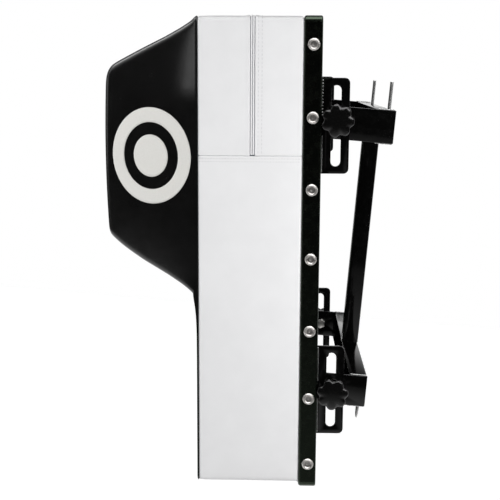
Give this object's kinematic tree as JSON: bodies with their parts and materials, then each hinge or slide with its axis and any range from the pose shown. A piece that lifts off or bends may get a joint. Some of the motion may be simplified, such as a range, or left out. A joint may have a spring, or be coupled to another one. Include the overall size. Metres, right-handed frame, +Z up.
{
  "type": "wall punching target",
  "caption": "Foam wall pad with a protruding head for striking practice, held in a steel tray that slides up and down on a wall bracket with star-knob clamps.",
  "frame": {"origin": "centre of the upper channel's wall face, where it meets the wall", "axes": "+Y into the wall, +Z up, +X to the right of someone who stands behind the pad and looks at the wall"},
  "size_m": [0.5146, 0.4697, 0.7673],
  "materials": {
    "powder_coat": "gloss",
    "zinc": "satin",
    "black_leather": "satin",
    "white_leather": "satin",
    "zip_tape": "matte",
    "knob_plastic": "gloss",
    "plywood": "matte",
    "foam": "matte"
  },
  "bodies": {
    "bracket": {"upper_channel": "powder_coat", "lower_channel": "powder_coat", "center_post": "powder_coat", "arm_upper_right": "powder_coat", "arm_upper_left": "powder_coat", "arm_lower_right": "powder_coat", "arm_lower_left": "powder_coat", "pin_upper_right": "zinc", "pin_upper_left": "zinc", "pin_lower_right": "zinc", "pin_lower_left": "zinc", "bolt_upper_right": "zinc", "bolt_upper_left": "zinc", "bolt_lower_right": "zinc", "bolt_lower_left": "zinc", "washer_upper_right": "zinc", "washer_upper_left": "zinc", "washer_lower_right": "zinc", "washer_lower_left": "zinc"},
    "pad": {"tray": "powder_coat", "ear_upper_right": "powder_coat", "ear_upper_left": "powder_coat", "ear_lower_right": "powder_coat", "ear_lower_left": "powder_coat", "back_board": "plywood", "core_foam": "foam", "head_foam": "foam", "cover_front": "black_leather", "band_upper_front": "white_leather", "band_upper_rear": "white_leather", "band_lower": "white_leather", "zipper": "zip_tape", "tray_screw_right_1": "zinc", "tray_screw_right_2": "zinc", "tray_screw_right_3": "zinc", "tray_screw_right_4": "zinc", "tray_screw_right_5": "zinc", "tray_screw_right_6": "zinc", "tray_screw_right_7": "zinc", "tray_screw_left_1": "zinc", "tray_screw_left_2": "zinc", "tray_screw_left_3": "zinc", "tray_screw_left_4": "zinc", "tray_screw_left_5": "zinc", "tray_screw_left_6": "zinc", "tray_screw_left_7": "zinc"},
    "knob_upper_right": {"knob_upper_right": "knob_plastic"},
    "knob_upper_left": {"knob_upper_left": "knob_plastic"},
    "knob_lower_right": {"knob_lower_right": "knob_plastic"},
    "knob_lower_left": {"knob_lower_left": "knob_plastic"},
    "zip_slider": {"zip_slider": "zinc"},
    "zip_pull": {"zip_pull": "zinc"}
  },
  "joints": [
    {"name": "pad_height", "type": "slide", "parent": "bracket", "child": "pad", "axis": [0, -0.0783, 0.9969], "range_m": [-0.0484, 0.0588]},
    {"name": "knob_upper_right_turn", "type": "hinge", "parent": "bracket", "child": "knob_upper_right", "pos_m": [0.2273, -0.0917, 0.004], "axis": [1, 0, 0], "range_deg": [0, 720]},
    {"name": "knob_upper_left_turn", "type": "hinge", "parent": "bracket", "child": "knob_upper_left", "pos_m": [-0.2273, -0.0917, 0.004], "axis": [-1, 0, 0], "range_deg": [0, 720]},
    {"name": "knob_lower_right_turn", "type": "hinge", "parent": "bracket", "child": "knob_lower_right", "pos_m": [0.2273, -0.0572, -0.43505], "axis": [1, 0, 0], "range_deg": [0, 720]},
    {"name": "knob_lower_left_turn", "type": "hinge", "parent": "bracket", "child": "knob_lower_left", "pos_m": [-0.2273, -0.0572, -0.43505], "axis": [-1, 0, 0], "range_deg": [0, 720]},
    {"name": "zip_slide", "type": "slide", "parent": "pad", "child": "zip_slider", "axis": [0, -0.0783, 0.9969], "range_m": [0, 0.183]},
    {"name": "zip_pull_swing", "type": "hinge", "parent": "zip_slider", "child": "zip_pull", "pos_m": [-0.2508, -0.22029, -0.04843], "axis": [0, 0.9969, 0.0783], "range_deg": [0, 140]}
  ]
}
